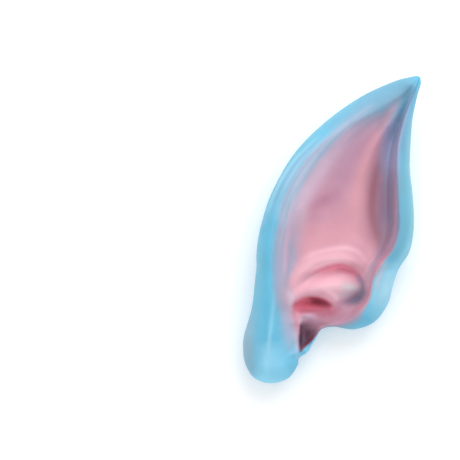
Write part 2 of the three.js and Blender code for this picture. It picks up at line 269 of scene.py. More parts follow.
def nearest_on_line(line, x, y):
    """Distance to a line, side of it and share of the way along, for many places."""
    nearest = np.full(x.shape, np.inf)
    side = np.zeros(x.shape)
    along = np.zeros(x.shape)
    for k in range(len(line) - 1):
        step_x, step_y = line[k + 1] - line[k]
        off_x, off_y = x - line[k][0], y - line[k][1]
        share = np.clip((off_x * step_x + off_y * step_y) / (step_x**2 + step_y**2), 0, 1)
        distance = np.hypot(off_x - share * step_x, off_y - share * step_y)
        closer = distance < nearest
        nearest = np.where(closer, distance, nearest)
        side = np.where(closer, step_x * off_y - step_y * off_x, side)
        along = np.where(closer, (k + share) / (len(line) - 1), along)
    return nearest, side, along


def stroke_mask(x, y, path, left_reach, right_reach, fade_power):
    """A soft ridge of height 1 along a path, fading at both of its ends."""
    line = path_points(path, FOLD_STEPS)
    mask = np.zeros(x.shape)
    margin = STROKE_SPAN * max(left_reach, right_reach) * ear_width
    low, high = line.min(axis=0) - margin, line.max(axis=0) + margin
    near = (x > low[0]) & (x < high[0]) & (y > low[1]) & (y < high[1])
    distance, side, along = nearest_on_line(line, x[near], y[near])
    reach = np.where(side > 0, left_reach, right_reach) * ear_width
    fade = np.abs(np.sin(np.pi * along)) ** fade_power
    mask[near] = fade * np.exp(-((distance / reach) ** 2))
    return mask


def surface(rung, across, folds=FOLDS):
    """The outer surface: x and y in metres, and front and back as shares of the depth."""
    shape = np.broadcast(rung, across).shape
    rung = np.broadcast_to(rung, shape).ravel()
    across = np.broadcast_to(across, shape).ravel()
    left_x, left_y, right_x, right_y = rung_ends(rung)
    x = mix(left_x, right_x, across) * ear_width
    y = mix(left_y, right_y, across) * ear_length
    length = np.hypot((right_x - left_x) * ear_width, (right_y - left_y) * ear_length)
    at = {
        name: steady_curve(SECTIONS["rung"], SECTIONS[name], rung)
        for name in SECTIONS
        if name != "rung"
    }
    from_end = np.minimum(rung, LAST_RUNG - rung) / ROUNDED_END_RUNGS
    end_round = np.sin(np.pi / 2 * np.clip(from_end, 0, 1))
    edge = mix(at["leftEdge"], at["rightEdge"], across)

    left_side = mix(at["leftEdge"], at["leftRim"], quarter_round(across / at["leftRimAt"]))
    right_share = (1 - across) / (1 - at["rightRimAt"])
    right_side = mix(at["rightEdge"], at["rightRim"], quarter_round(right_share))
    heights = np.stack([at[name] for name in ("leftRim", "valley", "ridge", "gutter", "rightRim")])
    last_slope = (heights[-1] - heights[-2]) / (BETWEEN_RIMS[-1] - BETWEEN_RIMS[-2])
    share = (across - at["leftRimAt"]) / (at["rightRimAt"] - at["leftRimAt"])
    share = np.clip(share, 0, 1)
    middle = steady_curve(BETWEEN_RIMS, heights, share, 0, np.maximum(0, last_slope))
    height = np.where(
        across < at["leftRimAt"],
        left_side,
        np.where(across > at["rightRimAt"], right_side, middle),
    )
    fade = smooth(np.minimum(across, 1 - across) / EDGE_SHARE) * end_round
    rise = sum(
        amount * stroke_mask(x, y, path, left_reach, right_reach, FOLD_FADE)
        for name, amount, left_reach, right_reach, path in folds
    )
    front = mix(edge, height, end_round) + rise * fade

    back_run = np.maximum(np.minimum(BACK_ROUND, length / 2), LEAST_RUN)
    from_side = np.minimum(across, 1 - across) * length / back_run
    back = mix(edge, at["back"], quarter_round(from_side) * end_round)
    return [values.reshape(shape) for values in (x, y, front, back)]


def surface_grid(rows, columns, folds=FOLDS):
    rung = np.linspace(0, LAST_RUNG, rows + 1)[:, None]
    return surface(rung, crowded_ends(columns)[None, :], folds)


_, _, fine_front, fine_back = surface_grid(ROWS, FRONT_COLUMNS)
ear_depth = ear_size[2] / (fine_front.max() - fine_back.min())


def place(x, y, z):
    """Lengths from the outline's corner to the part's frame, as an array of points."""
    return np.stack([x + origin_x, y + origin_y, z + solid_low[2]], axis=-1)


def mesh_object(name, points, faces, material):
    mesh = bpy.data.meshes.new(name)
    mesh.from_pydata(points.tolist(), [], faces)
    mesh.materials.append(material)
    mesh.polygons.foreach_set("use_smooth", [True] * len(mesh.polygons))
    mesh.update()
    made = bpy.data.objects.new(name, mesh)
    bpy.context.scene.collection.objects.link(made)
    return made


def two_sheets(top, bottom):
    """A closed body between two grids of points that share their border. Each grid is an array of
    rows, columns and coordinates, and the bottom one can have fewer columns."""
    rows = top.shape[0]
    top_index = np.arange(top[..., 0].size).reshape(top.shape[:2])
    bottom_index = top_index.size + np.arange(bottom[..., 0].size).reshape(bottom.shape[:2])
    for index in (top_index, bottom_index):
        index[:, 0] = top_index[:, 0]
        index[:, -1] = top_index[:, -1]
    if np.allclose(top[0, 0], top[0, -1]):
        for index in (top_index, bottom_index):
            index[0, :] = 0
            index[-1, :] = top_index[-1, 0]
    else:
        bottom_index[0, :] = top_index[0, :]
        bottom_index[-1, :] = top_index[-1, :]
    faces = []
    for index, up in ((top_index, True), (bottom_index, False)):
        for row in range(rows - 1):
            for column in range(index.shape[1] - 1):
                ring = [
                    index[row, column],
                    index[row, column + 1],
                    index[row + 1, column + 1],
                    index[row + 1, column],
                ]
                corners = list(dict.fromkeys(int(k) for k in ring))
                if len(corners) >= 3:
                    faces.append(corners if up else corners[::-1])
    points = np.concatenate([top.reshape(-1, 3), bottom.reshape(-1, 3)])
    used = np.unique(np.concatenate([np.array(face) for face in faces]))
    renumbered = {int(old): new for new, old in enumerate(used)}
    return points[used], [[renumbered[k] for k in face] for face in faces]


def outer_form(material):
    x, y, front, _ = surface_grid(ROWS, FRONT_COLUMNS, FOLDS + FINE_FOLDS)
    top = place(x, y, front * ear_depth)
    x, y, _, back = surface_grid(ROWS, BACK_COLUMNS)
    bottom = place(x, y, back * ear_depth)
    return mesh_object("latex_ear", *two_sheets(top, bottom), material)


def pocket_form(material):
    """The room inside: all that lies a wall's thickness in from both surfaces."""
    x, y, front, back = (v.ravel() for v in surface_grid(SAMPLE_ROWS, SAMPLE_COLUMNS))
    samples = np.stack([x, y, front * ear_depth, back * ear_depth])

    def room_at(rung, across):
        x, y, front, back = surface(rung, across)
        near = (samples[0] > x.min() - WALL) & (samples[0] < x.max() + WALL)
        near &= (samples[1] > y.min() - WALL) & (samples[1] < y.max() + WALL)
        sample_x, sample_y, sample_front, sample_back = samples[:, near]
        reach = WALL**2 - (sample_x - x[:, None]) ** 2 - (sample_y - y[:, None]) ** 2
        drop = np.sqrt(np.maximum(reach, 0))
        far = reach <= 0
        ceiling = np.where(far, np.inf, sample_front - drop).min(axis=1)
        floor = np.where(far, -np.inf, sample_back + drop).max(axis=1)
        ceiling = np.minimum(ceiling, front * ear_depth - WALL)
        floor = np.maximum(floor, back * ear_depth + WALL)
        return x, y, (ceiling + floor) / 2, ceiling - floor

    def room_start(across, height):
        """The share of the rung at which the height first rises above 0."""
        first = int(np.argmax(height > 0))
        if first == 0:
            return across[0]
        before, after = height[first - 1], height[first]
        return mix(across[first - 1], across[first], np.clip(before / (before - after), 0, 1))

    rows = []
    search = np.linspace(0, 1, POCKET_SEARCH_STEPS + 1)
    for rung in np.linspace(0, LAST_RUNG, POCKET_ROWS + 1):
        height = room_at(rung, search)[3]
        if not (height > 0).any():
            continue
        start = room_start(search, height)
        end = room_start(search[::-1], height[::-1])
        if end > start:
            across = mix(start, end, crowded_ends(POCKET_COLUMNS))
            rows.append(np.stack(room_at(rung, across)))
    x, y, middle, height = np.stack(rows, axis=1)
    half = np.maximum(height, LEAST_ROOM) / 2
    half[0] = half[-1] = half[:, 0] = half[:, -1] = 0
    top = place(x, y, middle + half)
    bottom = place(x, y, middle - half)
    return mesh_object("pocket", *two_sheets(top, bottom), material)


def opening_outline():
    """The opening's edge in the back wall, with rounded ends, as a closed loop of x and y."""
    along = crowded_ends(OPENING_STEPS)
    left_x, left_y, right_x, right_y = rung_ends(mix(OPENING_FIRST_RUNG, OPENING_LAST_RUNG, along))
    left = np.stack([left_x * ear_width, left_y * ear_length], axis=1)
    right = np.stack([right_x * ear_width, right_y * ear_length], axis=1)
    length = np.hypot(*(right - left).T)
    round_ends = np.sqrt(1 - np.abs(2 * along - 1) ** OPENING_SQUARENESS)
    half = np.maximum(0, length / 2 - BACK_ROUND - OPENING_FLANGE) * round_ends / length
    left_side = mix(left, right, (0.5 - half)[:, None])
    right_side = mix(left, right, (0.5 + half)[:, None])
    return np.concatenate([left_side, right_side[1:-1][::-1]])


def opening_cutter(material):
    """A plug that leaves the opening's edge rounded through the wall's thickness."""
    loop = opening_outline()
    tangent = np.roll(loop, -1, axis=0) - np.roll(loop, 1, axis=0)
    tangent /= np.linalg.norm(tangent, axis=1)[:, None]
    outward = np.stack([-tangent[:, 1], tangent[:, 0]], axis=1)
    if np.sum((loop - loop.mean(axis=0)) * outward) < 0:
        outward = -outward
    angles = np.linspace(-np.pi / 2, np.pi / 2, LIP_STEPS + 1)
    radius = WALL / 2
    heights = radius + radius * np.sin(angles)
    offsets = radius * (1 - np.cos(angles))
    heights = np.concatenate([[-WALL], heights, [2 * WALL]])
    offsets = np.concatenate([offsets[:1], offsets, offsets[-1:]])
    rings = [
        place(*(loop + outward * offset).T, np.full(len(loop), height))
        for height, offset in zip(heights, offsets)
    ]
    count = len(loop)
    last = (len(rings) - 1) * count
    faces = []
    for low in range(0, last, count):
        high = low + count
        for j in range(count):
            ahead = (j + 1) % count
            faces.append([low + j, low + ahead, high + ahead, high + j])
    faces.append(list(range(count))[::-1])
    faces.append(list(range(last, last + count)))
    cutter = mesh_object("opening_plug", np.concatenate(rings), faces, material)
    turn_faces_out(cutter)
    return cutter


def turn_faces_out(target):
    """Makes the faces of a closed mesh point outwards."""
    work = bmesh.new()
    work.from_mesh(target.data)
    bmesh.ops.recalc_face_normals(work, faces=work.faces)
    work.to_mesh(target.data)
    work.free()


def cut(target, cutter):
    """Cuts one closed mesh out of another, and removes the cutter."""
    modifier = target.modifiers.new("cut", "BOOLEAN")
    modifier.operation = "DIFFERENCE"
    modifier.solver = "MANIFOLD"
    modifier.object = cutter
    bpy.context.view_layer.update()
    result = bpy.data.meshes.new_from_object(
        target.evaluated_get(bpy.context.evaluated_depsgraph_get())
    )
    target.modifiers.clear()
    target.data = result
    bpy.data.objects.remove(cutter)


# Paint, as it shows in plain white light: red, green and blue from 0 to 255
# Some of these colours serve as painted highlights and painted shade.
PALETTE = {
    "sky blue": (101, 186, 219),
    "lit edge blue": (119, 190, 215),
    "bevel blue": (124, 170, 197),
    "pale blue": (148, 208, 234),
    "lobe blue": (143, 207, 236),
    "lobe end": (152, 222, 250),
    "bulge highlight": (178, 209, 225),
    "highlight along the bulge's border": (160, 217, 240),
    "flare blue": (106, 175, 196),
    "highlight on the flare's rim": (148, 200, 217),
    "grey blue": (146, 180, 200),
    "teal": (104, 160, 192),
    "periwinkle": (158, 166, 200),
    "pale periwinkle": (182, 202, 226),
    "dusty lilac": (150, 164, 190),
    "light lilac": (174, 174, 199),
    "grey lilac": (198, 180, 198),
    "tip teal": (126, 160, 192),
    "deep teal": (84, 134, 162),
    "tip mauve": (146, 144, 168),
    "cool lilac": (220, 206, 232),
    "line blue": (142, 174, 198),
    "line pink": (206, 170, 197),
    "line grey": (150, 150, 176),
    "line mist": (126, 178, 212),
    "dusty mauve": (184, 162, 184),
    "pale lilac": (226, 200, 220),
    "mauve": (188, 144, 169),
    "magenta": (178, 124, 150),
    "pink": (210, 152, 168),
    "warm pink": (217, 156, 169),
    "light pink": (240, 184, 198),
    "bright pink": (250, 200, 212),
    "rose": (206, 134, 154),
    "deep rose": (250, 150, 174),
    "dusky rose": (181, 134, 155),
    "red brown": (172, 118, 132),
    "purple grey": (140, 126, 154),
    "slate": (114, 112, 138),
    "cream": (202, 194, 201),
    "cream pink": (238, 190, 202),
    "coral": (212, 108, 130),
    "canal rose": (174, 96, 116),
    "soft rose": (178, 106, 128),
    "deep pink": (192, 112, 134),
    "wine": (132, 62, 78),
    "plum": (138, 100, 122),
    "dark plum": (72, 52, 70),
    "band blue": (116, 171, 198),
    "dark red": (138, 54, 76),
    "valley lilac": (158, 146, 172),
    "foot brown": (190, 152, 164),
    "streak blue": (160, 211, 235),
    "streak lilac": (156, 196, 220),
    "valley blue": (124, 182, 210),
    "gutter light": (170, 182, 212),
    "lit flank of the ridge": (194, 172, 202),
}

# The paint in the order it is sprayed: name, colour, strength, reach and points, as shares of the
# width and length. A stroke runs along its points, with one reach, or a left and a right one. A patch
# has none: its points go round it, each with the softness of the edge there.
# Among the airbrushed strokes are painted highlights and painted shade, laid where light and shade
# fall on the relief.
PAINT = [
    # Painted light: a lighter blue along the lit outer edge and down the lit left side of the strip.
    ("lit outside edge", "lit edge blue", 0.7, 0.022,
     [(0.11, 0.494), (0.143, 0.579), (0.244, 0.697), (0.39, 0.811), (0.576, 0.896), (0.772, 0.961)]),
    ("lit left strip side", "lit edge blue", 0.75, 0.028,
     [(0.098, 0.481), (0.093, 0.396), (0.087, 0.305), (0.07, 0.22)]),
    ("lobe", "lobe blue", 0.85, (0.112, 0.09),
     [(0.143, 0.142), (0.154, 0.077), (0.177, 0.018)]),
    ("lobe end", "lobe end", 0.85, 0.051,
     [(0.053, 0.044), (0.11, 0.015), (0.188, 0.008), (0.278, 0.038)]),
    ("grey lobe edge", "grey blue", 0.95, (0.051, 0.045),
     [(0.065, 0.259), (0.031, 0.191), (0.02, 0.126), (0.025, 0.07), (0.07, 0.018)]),
    ("inner streak", "streak lilac", 0.8, 0.017,
     [(0.458, 0.804), (0.407, 0.772), (0.329, 0.726), (0.256, 0.664), (0.205, 0.599), (0.169, 0.527)]),
    # A light blue line on a raised brush line: partly its paint, partly a painted highlight on it.
    ("outer streak", "streak blue", 0.75, 0.01,
     [(0.424, 0.804), (0.368, 0.773), (0.289, 0.726), (0.219, 0.664), (0.166, 0.599), (0.138, 0.546)]),
    ("between the streaks", "valley blue", 0.6, 0.007,
     [(0.435, 0.804), (0.385, 0.772), (0.306, 0.726), (0.235, 0.664), (0.184, 0.599), (0.149, 0.527)]),
    # Painted highlight: a pale streak down the lobe's ridge, widening near its end.
    ("lobe highlight", "pale blue", 0.75, 0.013,
     [(0.18, 0.318), (0.174, 0.266), (0.16, 0.191), (0.146, 0.126), (0.138, 0.077), (0.132, 0.031)]),
    ("wide end of the lobe highlight", "pale blue", 0.5, 0.02,
     [(0.149, 0.142), (0.14, 0.103), (0.138, 0.057), (0.143, 0.024)]),
    ("upper bevel", "bevel blue", 0.9, (0.051, 0.067),
     [(0.469, 0.808), (0.604, 0.866), (0.761, 0.925), (0.896, 0.961), (0.975, 0.984)]),
    ("tip band", "band blue", 0.8, 0.034,
     [(0.604, 0.902), (0.705, 0.941), (0.806, 0.967), (0.896, 0.984), (0.98, 0.993)]),
    ("flare", "flare blue", 0.9, (0.045, 0.028),
     [(0.952, 0.938), (0.907, 0.811), (0.896, 0.713), (0.902, 0.599), (0.907, 0.507), (0.879, 0.436),
      (0.806, 0.377)]),
    # Painted highlight: a paler stripe along the flare's outer edge.
    ("highlight on the flare's rim", "highlight on the flare's rim", 0.6, (0.02, 0.028),
     [(0.969, 0.892), (0.941, 0.794), (0.947, 0.697), (0.958, 0.599), (0.961, 0.517), (0.935, 0.436),
      (0.885, 0.383)]),
    ("bulge", "pale blue", 0.9, (0.079, 0.067),
     [(0.862, 0.396), (0.823, 0.331), (0.772, 0.266), (0.705, 0.214)]),
    # Painted highlights on the bulge: a broad soft one, one along its border and a bright streak.
    ("broad highlight on the bulge", "bulge highlight", 0.45, 0.045,
     [(0.829, 0.377), (0.806, 0.344), (0.789, 0.302), (0.75, 0.253)]),
    ("highlight along the bulge's border", "highlight along the bulge's border", 0.35, 0.028,
     [(0.862, 0.409), (0.84, 0.364), (0.817, 0.321), (0.778, 0.276)]),
    ("bulge highlight", "bulge highlight", 0.5, 0.015,
     [(0.817, 0.396), (0.778, 0.37), (0.753, 0.338), (0.739, 0.299), (0.716, 0.259)]),
    # Painted highlight: a pale band where the flare folds in above the bulge.
    ("highlight at the flare's end", "pale blue", 0.5, 0.022,
     [(0.941, 0.481), (0.919, 0.436), (0.874, 0.396), (0.84, 0.351)]),
    ("first coat", "dusty mauve", 0.95, None,
     [(0.935, 0.941, 0.028), (0.823, 0.902, 0.045), (0.683, 0.856, 0.067), (0.559, 0.804, 0.067),
      (0.447, 0.752, 0.067), (0.362, 0.697, 0.062), (0.295, 0.641, 0.056), (0.244, 0.586, 0.045),
      (0.208, 0.527, 0.028), (0.191, 0.468, 0.02), (0.185, 0.396, 0.02), (0.188, 0.321, 0.02),
      (0.197, 0.272, 0.028), (0.222, 0.23, 0.039), (0.25, 0.191, 0.034), (0.284, 0.152, 0.028),
      (0.32, 0.109, 0.007), (0.362, 0.126, 0.007), (0.396, 0.145, 0.008), (0.419, 0.162, 0.008),
      (0.447, 0.178, 0.008), (0.497, 0.184, 0.017), (0.576, 0.194, 0.028), (0.649, 0.217, 0.028),
      (0.688, 0.246, 0.014), (0.713, 0.276, 0.009), (0.721, 0.305, 0.007), (0.732, 0.338, 0.007),
      (0.764, 0.37, 0.008), (0.801, 0.408, 0.009), (0.837, 0.436, 0.011), (0.859, 0.468, 0.009),
      (0.865, 0.507, 0.009), (0.862, 0.582, 0.009), (0.859, 0.648, 0.009), (0.858, 0.706, 0.009),
      (0.868, 0.772, 0.009), (0.893, 0.83, 0.011), (0.919, 0.892, 0.011), (0.941, 0.928, 0.017)]),
    ("second coat", "pink", 0.96, None,
     [(0.885, 0.902, 0.034), (0.806, 0.869, 0.051), (0.699, 0.817, 0.067), (0.581, 0.762, 0.067),
      (0.48, 0.703, 0.067), (0.407, 0.644, 0.067), (0.362, 0.592, 0.062), (0.329, 0.537, 0.062),
      (0.312, 0.475, 0.062), (0.301, 0.416, 0.056), (0.272, 0.364, 0.051), (0.261, 0.318, 0.045),
      (0.261, 0.272, 0.034), (0.272, 0.233, 0.028), (0.295, 0.191, 0.022), (0.312, 0.152, 0.011),
      (0.32, 0.109, 0.007), (0.362, 0.126, 0.007), (0.396, 0.145, 0.008), (0.419, 0.162, 0.008),
      (0.447, 0.181, 0.008), (0.497, 0.194, 0.022), (0.576, 0.21, 0.028), (0.649, 0.233, 0.022),
      (0.688, 0.263, 0.017), (0.711, 0.292, 0.011), (0.716, 0.321, 0.011), (0.728, 0.351, 0.011),
      (0.767, 0.383, 0.014), (0.801, 0.413, 0.014), (0.829, 0.442, 0.012), (0.849, 0.475, 0.011),
      (0.854, 0.507, 0.011), (0.851, 0.582, 0.011), (0.848, 0.648, 0.011), (0.848, 0.706, 0.011),
      (0.857, 0.772, 0.011), (0.879, 0.83, 0.014), (0.896, 0.879, 0.014)]),
    ("pale lilac band", "pale lilac", 0.95, (0.067, 0.062),
     [(0.784, 0.883), (0.683, 0.847), (0.581, 0.791), (0.48, 0.719), (0.39, 0.651), (0.329, 0.586),
      (0.272, 0.514)]),
    ("its cool end", "cool lilac", 0.6, 0.045,
     [(0.761, 0.873), (0.694, 0.85), (0.615, 0.811), (0.525, 0.746)]),
    ("blue beside the band", "pale periwinkle", 0.9, (0.034, 0.031),
     [(0.604, 0.856), (0.48, 0.791), (0.385, 0.729), (0.32, 0.67), (0.27, 0.612), (0.233, 0.553),
      (0.222, 0.501)]),
    ("mauve valley", "mauve", 0.9, (0.09, 0.084),
     [(0.806, 0.86), (0.705, 0.801), (0.626, 0.742), (0.565, 0.684), (0.503, 0.618), (0.458, 0.56)]),
    ("magenta spot", "magenta", 0.6, 0.039,
     [(0.357, 0.553), (0.413, 0.579), (0.469, 0.599), (0.514, 0.615), (0.559, 0.631)]),
    ("its middle", "magenta", 0.45, 0.017,
     [(0.441, 0.592), (0.469, 0.602), (0.497, 0.615)]),
    ("below the spot", "mauve", 0.5, 0.028,
     [(0.346, 0.527), (0.424, 0.543), (0.514, 0.553)]),
    ("pink ridge", "warm pink", 0.8, (0.045, 0.039),
     [(0.778, 0.84), (0.733, 0.781), (0.694, 0.723), (0.654, 0.651), (0.638, 0.579), (0.626, 0.514),
      (0.615, 0.455)]),
    ("above the antihelix", "warm pink", 0.7, 0.051,
     [(0.323, 0.409), (0.402, 0.455), (0.503, 0.475), (0.604, 0.475), (0.694, 0.449)]),
    ("lilac at the left", "dusty mauve", 0.6, 0.039,
     [(0.323, 0.573), (0.301, 0.514), (0.278, 0.455), (0.267, 0.403), (0.25, 0.357)]),
    # Red brown down the right valley: partly the wash's colour, partly painted shade beside the rim's
    # inner wall.
    ("brown shade down the valley", "red brown", 0.9, (0.034, 0.031),
     [(0.795, 0.762), (0.756, 0.697), (0.733, 0.631), (0.728, 0.56), (0.75, 0.501), (0.775, 0.455),
      (0.787, 0.416)]),
    ("pale slate wall", "periwinkle", 0.95, (0.051, 0.034),
     [(0.913, 0.915), (0.874, 0.853), (0.84, 0.781), (0.823, 0.716), (0.817, 0.644), (0.817, 0.599)]),
    ("left of the slate wall", "periwinkle", 0.7, 0.028,
     [(0.868, 0.912), (0.834, 0.86), (0.809, 0.794), (0.792, 0.729), (0.787, 0.67)]),
    # Purple grey on the rim's steep inner wall and its foot: partly its colour, partly painted shade
    # of the wall.
    ("slate wall", "purple grey", 0.95, (0.053, 0.034),
     [(0.826, 0.703), (0.82, 0.631), (0.815, 0.56), (0.817, 0.501), (0.795, 0.449), (0.756, 0.403)]),
    ("foot of the slate wall", "purple grey", 0.5, 0.022,
     [(0.784, 0.664), (0.778, 0.599), (0.775, 0.533), (0.772, 0.475)]),
    # Darker teal in the corner at the tip: partly its colour, partly painted shade.
    ("shaded teal corner of the tip", "teal", 0.9, (0.015, 0.02),
     [(0.963, 0.971), (0.933, 0.941), (0.902, 0.902), (0.885, 0.866)]),
    ("beside the tip", "tip teal", 0.8, (0.039, 0.034),
     [(0.958, 0.971), (0.907, 0.925), (0.874, 0.883), (0.848, 0.834), (0.829, 0.781)]),
    # Painted shade: darker blue under the crest of the tip.
    ("shade below the tip's crest", "bevel blue", 0.7, (0.051, 0.02),
     [(0.975, 0.977), (0.907, 0.951), (0.829, 0.925), (0.75, 0.899), (0.671, 0.873), (0.581, 0.84)]),
    ("tip of the mauve", "tip mauve", 0.55, 0.028,
     [(0.89, 0.938), (0.862, 0.915), (0.823, 0.886), (0.784, 0.85), (0.75, 0.814)]),
    ("end of the ridge", "pink", 0.42, (0.017, 0.022),
     [(0.868, 0.918), (0.829, 0.883), (0.795, 0.847), (0.761, 0.808), (0.728, 0.762)]),
    # Painted light: lighter paint on the ridge's flank and in the gutter, lifting the shade there.
    ("lit flank of the ridge", "lit flank of the ridge", 0.6, 0.022,
     [(0.829, 0.86), (0.806, 0.824), (0.795, 0.788), (0.784, 0.752), (0.778, 0.71)]),
    ("gutter light", "gutter light", 0.6, 0.02,
     [(0.862, 0.886), (0.84, 0.853), (0.829, 0.814), (0.823, 0.772), (0.817, 0.723)]),
    # Darker teal deep in the corner at the tip: partly its colour, partly painted shade.
    ("deepest shaded teal corner", "deep teal", 0.85, (0.017, 0.028),
     [(0.949, 0.971), (0.93, 0.948), (0.91, 0.918), (0.893, 0.886), (0.874, 0.847)]),
    # Painted shade: darker teal down the inner side of the flare.
    ("shade down the flare's inner side", "teal", 0.5, 0.017,
     [(0.919, 0.931), (0.907, 0.873), (0.896, 0.814), (0.89, 0.755), (0.888, 0.677)]),
    ("upper rim line", "periwinkle", 0.8, 0.01,
     [(0.947, 0.941), (0.924, 0.899), (0.896, 0.853), (0.874, 0.804), (0.865, 0.755), (0.86, 0.69)]),
    ("blue of the slate wall", "periwinkle", 0.25, 0.017,
     [(0.834, 0.69), (0.832, 0.631), (0.832, 0.566), (0.829, 0.514), (0.817, 0.475)]),
    ("brown at its foot", "foot brown", 0.35, 0.028,
     [(0.806, 0.54), (0.812, 0.501), (0.803, 0.462), (0.778, 0.429)]),
    ("rim line", "dusty mauve", 0.85, (0.011, 0.009),
     [(0.857, 0.729), (0.854, 0.648), (0.856, 0.582), (0.854, 0.527), (0.843, 0.485), (0.821, 0.452),
      (0.789, 0.419)]),
    ("lower rim line", "rose", 0.75, (0.008, 0.007),
     [(0.831, 0.449), (0.795, 0.416), (0.75, 0.382), (0.722, 0.354), (0.712, 0.321), (0.706, 0.292),
      (0.688, 0.266), (0.649, 0.245), (0.593, 0.23), (0.537, 0.22)]),
    ("beside the rim line", "valley lilac", 0.75, (0.013, 0.016),
     [(0.795, 0.445), (0.767, 0.419), (0.747, 0.398), (0.725, 0.375), (0.711, 0.351)]),
    ("inside the rim line", "dusty mauve", 0.7, (0.013, 0.017),
     [(0.722, 0.367), (0.699, 0.341), (0.688, 0.315), (0.683, 0.289), (0.66, 0.263)]),
    ("root of the rim", "grey lilac", 0.55, 0.022,
     [(0.739, 0.409), (0.716, 0.377), (0.705, 0.347), (0.691, 0.315)]),
    ("lilac on the bulge", "grey lilac", 0.5, 0.017,
     [(0.817, 0.4), (0.778, 0.367), (0.756, 0.338), (0.739, 0.299)]),
    # Painted light: the antihelix's lit upper flank, its crest highlight and a bright line at the
    # flank's lower edge.
    ("lit flank of the antihelix", "light pink", 0.85, 0.039,
     [(0.267, 0.312), (0.301, 0.351), (0.362, 0.387), (0.447, 0.409), (0.548, 0.416), (0.626, 0.403),
      (0.683, 0.377)]),
    ("antihelix light", "light pink", 0.4, 0.034,
     [(0.604, 0.481), (0.671, 0.458), (0.711, 0.429), (0.711, 0.39)]),
    ("highlight on the antihelix crest", "bright pink", 0.6, (0.018, 0.012),
     [(0.323, 0.4), (0.402, 0.424), (0.492, 0.437), (0.559, 0.442), (0.621, 0.436), (0.666, 0.419),
      (0.699, 0.387)]),
    ("lit lower edge of the flank", "bright pink", 0.85, 0.016,
     [(0.306, 0.357), (0.362, 0.372), (0.419, 0.382), (0.469, 0.392), (0.525, 0.4), (0.576, 0.398),
      (0.615, 0.39)]),
    ("groove", "deep rose", 0.9, (0.017, 0.018),
     [(0.368, 0.349), (0.435, 0.365), (0.497, 0.377), (0.553, 0.38), (0.604, 0.372), (0.643, 0.354),
      (0.666, 0.331)]),
    # Painted shade: darker pink deep in the groove under the antihelix.
    ("shade deep in the groove", "deep pink", 0.95, (0.013, 0.021),
     [(0.514, 0.37), (0.553, 0.373), (0.587, 0.369), (0.621, 0.362), (0.649, 0.349), (0.669, 0.331),
      (0.677, 0.308)]),
    ("groove, left end", "dusty mauve", 0.6, (0.014, 0.022),
     [(0.301, 0.321), (0.34, 0.338), (0.385, 0.354), (0.435, 0.367)]),
    # Painted shade: purple grey at the groove's right end.
    ("shaded right end of the groove", "purple grey", 0.85, (0.013, 0.019),
     [(0.638, 0.357), (0.657, 0.341), (0.669, 0.321), (0.674, 0.292)]),
    # Painted light: the lit top of the crus and its brightest highlight.
    ("lit crus top", "light pink", 0.95, (0.045, 0.051),
     [(0.289, 0.295), (0.368, 0.325), (0.458, 0.334), (0.559, 0.328), (0.626, 0.312)]),
    ("crus highlight", "cream pink", 0.85, (0.025, 0.028),
     [(0.368, 0.305), (0.435, 0.315), (0.503, 0.313), (0.57, 0.308)]),
    ("left of the folds", "light pink", 0.6, (0.022, 0.028),
     [(0.272, 0.253), (0.284, 0.282), (0.301, 0.312), (0.323, 0.344)]),
    ("left of the canal", "grey lilac", 0.85, (0.025, 0.022),
     [(0.25, 0.321), (0.261, 0.289), (0.272, 0.263), (0.272, 0.233)]),
    ("light left of the canal", "pale lilac", 0.5, 0.022,
     [(0.261, 0.305), (0.281, 0.279), (0.284, 0.256)]),
    # Painted highlight: a pale cream glint at the crus's right end.
    ("cream highlight", "cream", 0.95, 0.028,
     [(0.537, 0.318), (0.604, 0.313), (0.666, 0.305)]),
    ("below the cream highlight", "grey lilac", 0.8, 0.022,
     [(0.503, 0.285), (0.559, 0.287), (0.604, 0.292), (0.638, 0.302)]),
    # Painted shade: slate in the hollow beside the rim.
    ("slate shade in the hollow", "slate", 0.95, (0.022, 0.028),
     [(0.537, 0.251), (0.581, 0.259), (0.626, 0.271), (0.66, 0.287), (0.68, 0.312)]),
    ("before the spot", "dusky rose", 0.8, (0.028, 0.034),
     [(0.492, 0.263), (0.537, 0.259), (0.581, 0.25), (0.638, 0.25)]),
    # Painted highlight: a bright line on the lip above the canal.
    ("canal lip highlight", "bright pink", 0.6, 0.017,
     [(0.447, 0.315), (0.48, 0.302), (0.514, 0.289), (0.537, 0.269)]),
    ("dusky lip", "dusky rose", 0.9, (0.039, 0.051),
     [(0.368, 0.207), (0.447, 0.204), (0.537, 0.214), (0.604, 0.227), (0.66, 0.243)]),
    ("under the canal", "soft rose", 0.95, (0.025, 0.031),
     [(0.351, 0.235), (0.43, 0.232), (0.497, 0.233), (0.553, 0.251)]),
    ("canal, left edge", "rose", 0.8, 0.015,
     [(0.317, 0.279), (0.294, 0.263), (0.288, 0.237), (0.295, 0.207), (0.309, 0.168)]),
    ("canal, coral end", "coral", 0.6, 0.007,
     [(0.306, 0.268), (0.294, 0.256), (0.289, 0.237), (0.295, 0.214)]),
    ("canal", "coral", 0.95, None,
     [(0.296, 0.255, 0.009), (0.309, 0.265, 0.01), (0.334, 0.272, 0.011), (0.379, 0.282, 0.007),
      (0.435, 0.28, 0.006), (0.475, 0.271, 0.009), (0.497, 0.258, 0.017), (0.5, 0.246, 0.022),
      (0.469, 0.24, 0.019), (0.424, 0.237, 0.015), (0.379, 0.237, 0.012), (0.346, 0.233, 0.009),
      (0.32, 0.23, 0.009), (0.301, 0.237, 0.009), (0.289, 0.245, 0.009)]),
    # Painted shade: dark red under the canal's top edge.
    ("canal shade under its top edge", "dark red", 0.92, (0.013, 0.028),
     [(0.379, 0.272), (0.419, 0.269), (0.463, 0.261), (0.503, 0.25)]),
    ("light in the canal", "deep rose", 0.7, 0.012,
     [(0.301, 0.266), (0.334, 0.274), (0.374, 0.276)]),
    ("canal floor", "canal rose", 0.85, (0.012, 0.018),
